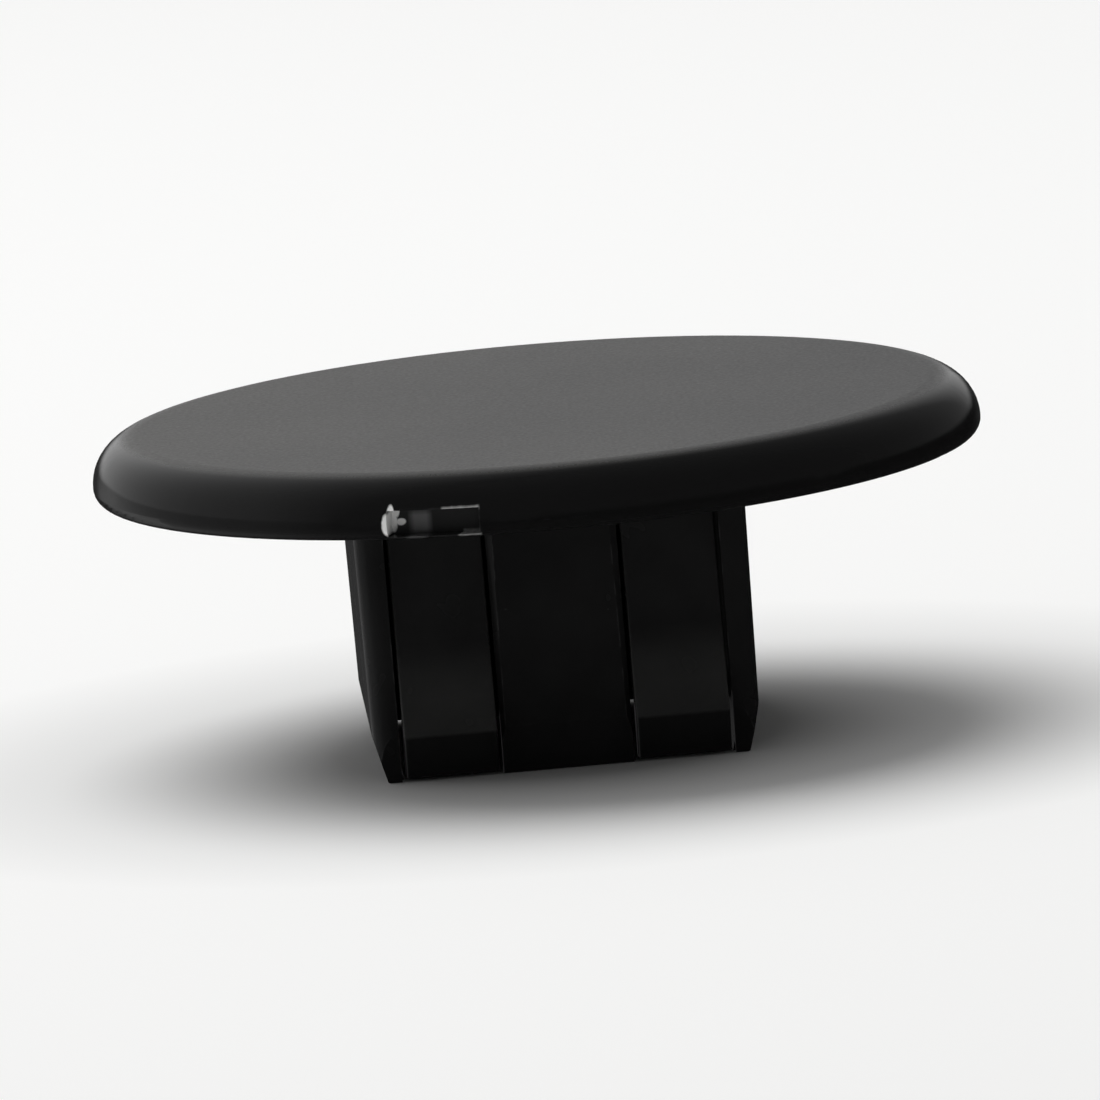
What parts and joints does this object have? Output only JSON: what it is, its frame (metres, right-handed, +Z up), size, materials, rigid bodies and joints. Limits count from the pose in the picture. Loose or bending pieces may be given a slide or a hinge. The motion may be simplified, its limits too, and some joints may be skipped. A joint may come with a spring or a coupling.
{
  "type": "desk grommet cover plug",
  "caption": "Round black plastic cap on a square snap-in stem with spring tongues, which closes a square cut-out in a desk top.",
  "frame": {"origin": "middle of the stem's lower end, on the plane that the end stands on", "axes": "+Z up along the stem to the cap, -Y to the front face of the stem, which is the one with the pry slot above it, +X to the right"},
  "size_m": [0.08, 0.08, 0.0306],
  "materials": {
    "cap_plastic": "black, finely textured top with a glossy rounded rim",
    "stem_plastic": "black, moulded gloss"
  },
  "bodies": {
    "plug": {"cover_cap": "cap_plastic", "stem_frame": "stem_plastic"},
    "front_left_snap": {"front_left_tongue": "stem_plastic"},
    "front_right_snap": {"front_right_tongue": "stem_plastic"},
    "back_left_snap": {"back_left_tongue": "stem_plastic"},
    "back_right_snap": {"back_right_tongue": "stem_plastic"}
  },
  "joints": [
    {"name": "front_left_flex", "type": "hinge", "parent": "plug", "child": "front_left_snap", "pos_m": [-0.0104, -0.0163, 0.0238], "axis": [1, 0, 0], "range_deg": [0, 5.5], "stiffness_Nm_per_rad": 0.75},
    {"name": "front_right_flex", "type": "hinge", "parent": "plug", "child": "front_right_snap", "pos_m": [0.0104, -0.0163, 0.0238], "axis": [1, 0, 0], "range_deg": [0, 5.5], "stiffness_Nm_per_rad": 0.75},
    {"name": "back_left_flex", "type": "hinge", "parent": "plug", "child": "back_left_snap", "pos_m": [-0.0104, 0.0163, 0.0238], "axis": [-1, 0, 0], "range_deg": [0, 5.5], "stiffness_Nm_per_rad": 0.75},
    {"name": "back_right_flex", "type": "hinge", "parent": "plug", "child": "back_right_snap", "pos_m": [0.0104, 0.0163, 0.0238], "axis": [-1, 0, 0], "range_deg": [0, 5.5], "stiffness_Nm_per_rad": 0.75}
  ]
}
